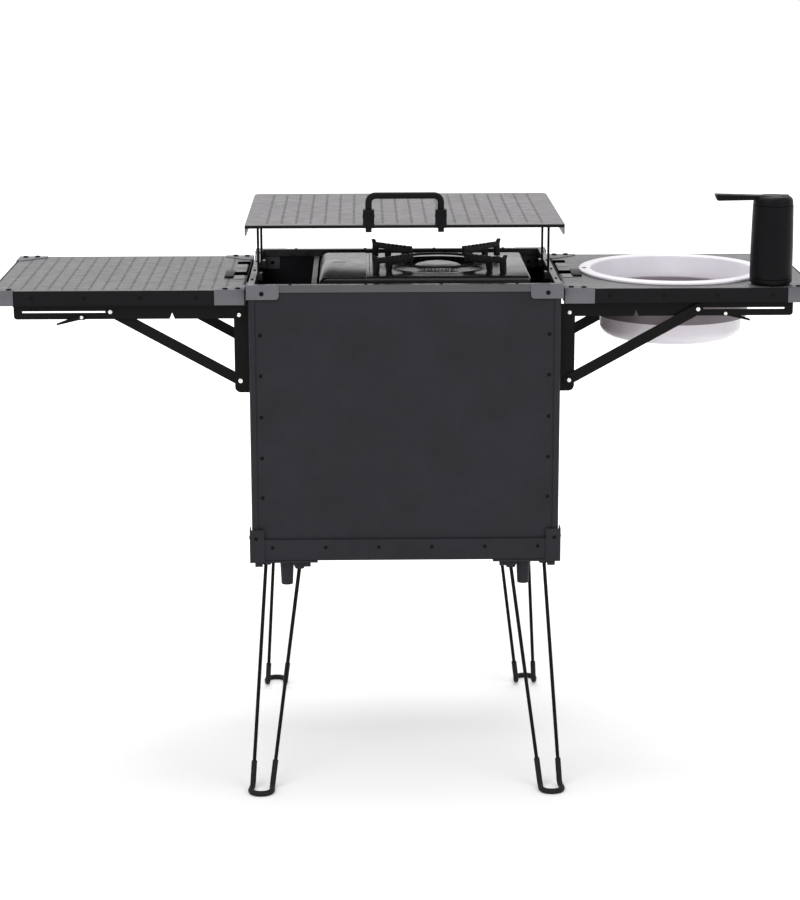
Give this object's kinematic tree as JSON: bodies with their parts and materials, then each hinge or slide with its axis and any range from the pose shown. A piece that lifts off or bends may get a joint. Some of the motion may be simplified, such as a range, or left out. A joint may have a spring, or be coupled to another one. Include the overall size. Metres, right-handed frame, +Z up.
{
  "type": "chuck box",
  "caption": "Folding camp kitchen box on hairpin wire legs, with a raised slatted lid, two wing tables, a telescoping basin, a tap pump and a gas stove.",
  "frame": {"origin": "on the ground under the middle of the box", "axes": "+X along the wings to the basin's side, +Y from the front to the back, +Z up"},
  "size_m": [1.318, 0.5832, 0.9695],
  "materials": {
    "charcoal_paint": "fine textured charcoal paint on aluminium",
    "grey_coat": "satin grey coat on aluminium",
    "slatted_sheet": "grey coated aluminium sheet with dashed grooves",
    "black_steel": "black coated steel",
    "black_plastic": "matt black plastic",
    "white_plastic": "translucent white plastic",
    "black_enamel": "glossy black enamel",
    "bare_steel": "bare steel"
  },
  "bodies": {
    "box": {"front_panel": "charcoal_paint", "rear_panel": "charcoal_paint", "left_panel": "charcoal_paint", "right_panel": "charcoal_paint", "bottom_pan": "charcoal_paint", "top_rim": "charcoal_paint", "post_front_left": "charcoal_paint", "post_front_right": "charcoal_paint", "post_rear_left": "charcoal_paint", "post_rear_right": "charcoal_paint", "top_guard_front_left": "grey_coat", "top_guard_front_right": "grey_coat", "top_guard_rear_left": "grey_coat", "top_guard_rear_right": "grey_coat", "base_bracket_front_left": "charcoal_paint", "base_bracket_front_right": "charcoal_paint", "base_bracket_rear_left": "charcoal_paint", "base_bracket_rear_right": "charcoal_paint", "stove_tray": "grey_coat", "wall_plate_left_front": "black_steel", "wall_plate_left_rear": "black_steel", "wall_plate_right_front": "black_steel", "wall_plate_right_rear": "black_steel", "stove_body": "black_enamel", "gas_cartridge": "bare_steel", "burner": "bare_steel"},
    "support": {"pan_support": "black_enamel"},
    "cover": {"cartridge_cover": "black_enamel"},
    "knob": {"stove_knob": "black_plastic"},
    "lid": {"lid_panel": "slatted_sheet", "lid_rods_left": "black_steel", "lid_rods_right": "black_steel"},
    "handle": {"lid_handle": "black_plastic"},
    "wing_left": {"wing_frame_left": "charcoal_paint", "wing_panel_left": "slatted_sheet", "wing_arm_left_front": "black_steel", "wing_arm_left_rear": "black_steel"},
    "wing_right": {"wing_frame_right": "charcoal_paint", "wing_panel_right": "slatted_sheet", "wing_arm_right_front": "black_steel", "wing_arm_right_rear": "black_steel"},
    "struts_left": {"strut_left_front": "black_steel", "strut_left_rear": "black_steel"},
    "struts_right": {"strut_right_front": "black_steel", "strut_right_rear": "black_steel"},
    "lever_left_front": {"release_lever_left_front": "black_steel"},
    "lever_left_rear": {"release_lever_left_rear": "black_steel"},
    "lever_right_front": {"release_lever_right_front": "black_steel"},
    "lever_right_rear": {"release_lever_right_rear": "black_steel"},
    "basin_top": {"basin_rim": "white_plastic"},
    "basin_mid": {"basin_middle": "white_plastic"},
    "basin_base": {"basin_bottom": "white_plastic"},
    "pump": {"pump_body": "black_plastic"},
    "spout": {"pump_spout": "black_plastic"},
    "button": {"pump_button": "black_plastic"},
    "leg_front_left": {"leg_front_left": "black_steel"},
    "leg_front_right": {"leg_front_right": "black_steel"},
    "leg_rear_left": {"leg_rear_left": "black_steel"},
    "leg_rear_right": {"leg_rear_right": "black_steel"}
  },
  "joints": [
    {"name": "wing_left_fold", "type": "hinge", "parent": "box", "child": "wing_left", "pos_m": [-0.264, 0, 0.7735], "axis": [0, -1, 0], "range_deg": [0, 88]},
    {"name": "wing_right_fold", "type": "hinge", "parent": "box", "child": "wing_right", "pos_m": [0.264, 0, 0.7735], "axis": [0, 1, 0], "range_deg": [0, 88]},
    {"name": "struts_left_turn", "type": "hinge", "parent": "box", "child": "struts_left", "pos_m": [-0.264, 0, 0.6645], "axis": [0, -1, 0], "range_deg": [0, 116]},
    {"name": "struts_right_turn", "type": "hinge", "parent": "box", "child": "struts_right", "pos_m": [0.264, 0, 0.6645], "axis": [0, 1, 0], "range_deg": [0, 116]},
    {"name": "lever_left_front_pull", "type": "hinge", "parent": "wing_left", "child": "lever_left_front", "pos_m": [-0.515, -0.166, 0.77], "axis": [0, 1, 0], "range_deg": [0, 12], "stiffness_Nm_per_rad": 0.3, "springref_deg": -5.73},
    {"name": "lever_left_rear_pull", "type": "hinge", "parent": "wing_left", "child": "lever_left_rear", "pos_m": [-0.515, 0.166, 0.77], "axis": [0, 1, 0], "range_deg": [0, 12], "stiffness_Nm_per_rad": 0.3, "springref_deg": -5.73},
    {"name": "lever_right_front_pull", "type": "hinge", "parent": "wing_right", "child": "lever_right_front", "pos_m": [0.515, -0.166, 0.77], "axis": [0, -1, 0], "range_deg": [0, 12], "stiffness_Nm_per_rad": 0.3, "springref_deg": -5.73},
    {"name": "lever_right_rear_pull", "type": "hinge", "parent": "wing_right", "child": "lever_right_rear", "pos_m": [0.515, 0.166, 0.77], "axis": [0, -1, 0], "range_deg": [0, 12], "stiffness_Nm_per_rad": 0.3, "springref_deg": -5.73},
    {"name": "lid_lower", "type": "slide", "parent": "box", "child": "lid", "axis": [0, 0, 1], "range_m": [-0.06, 0]},
    {"name": "handle_fold", "type": "hinge", "parent": "lid", "child": "handle", "pos_m": [0, -0.18278, 0.932], "axis": [-1, 0, 0], "range_deg": [0, 90]},
    {"name": "support_lift", "type": "slide", "parent": "box", "child": "support", "axis": [0, 0, 1], "range_m": [0, 0.045]},
    {"name": "cover_open", "type": "hinge", "parent": "box", "child": "cover", "pos_m": [-0.061, 0, 0.826], "axis": [0, 1, 0], "range_deg": [0, 80]},
    {"name": "knob_turn", "type": "hinge", "parent": "box", "child": "knob", "pos_m": [-0.0985, 0.129, 0.785], "axis": [0, 1, 0], "range_deg": [0, 130]},
    {"name": "basin_lift", "type": "slide", "parent": "wing_right", "child": "basin_top", "axis": [0, 0, 1], "range_m": [0, 0.105]},
    {"name": "basin_mid_slide", "type": "slide", "parent": "basin_top", "child": "basin_mid", "axis": [0, 0, 1], "range_m": [0, 0.032]},
    {"name": "basin_base_slide", "type": "slide", "parent": "basin_top", "child": "basin_base", "axis": [0, 0, 1], "range_m": [0, 0.062]},
    {"name": "pump_lift", "type": "slide", "parent": "wing_right", "child": "pump", "axis": [0, 0, 1], "range_m": [0, 0.1]},
    {"name": "spout_swivel", "type": "hinge", "parent": "pump", "child": "spout", "pos_m": [0.59, -0.138, 0.9418], "axis": [0, 0, 1], "range_deg": [-90, 90]},
    {"name": "button_press", "type": "slide", "parent": "spout", "child": "button", "axis": [0, 0, -1], "range_m": [0, 0.0015], "stiffness_N_per_m": 400, "springref_m": -0.001},
    {"name": "leg_front_left_fold", "type": "hinge", "parent": "box", "child": "leg_front_left", "pos_m": [-0.19975, -0.174, 0.3625], "axis": [1, 0, 0], "range_deg": [0, 90]},
    {"name": "leg_front_right_fold", "type": "hinge", "parent": "box", "child": "leg_front_right", "pos_m": [0.19975, -0.174, 0.3625], "axis": [1, 0, 0], "range_deg": [0, 90]},
    {"name": "leg_rear_left_fold", "type": "hinge", "parent": "box", "child": "leg_rear_left", "pos_m": [-0.19975, 0.174, 0.3525], "axis": [-1, 0, 0], "range_deg": [0, 90]},
    {"name": "leg_rear_right_fold", "type": "hinge", "parent": "box", "child": "leg_rear_right", "pos_m": [0.19975, 0.174, 0.3525], "axis": [-1, 0, 0], "range_deg": [0, 90]}
  ],
  "couplings": [
    {"joint": "struts_left_turn", "follows": "wing_left_fold", "ratio": 1.3054},
    {"joint": "struts_right_turn", "follows": "wing_right_fold", "ratio": 1.3054},
    {"joint": "basin_mid_slide", "follows": "wing_right_fold", "m_per_rad": 0.0208},
    {"joint": "basin_base_slide", "follows": "wing_right_fold", "m_per_rad": 0.0403}
  ]
}
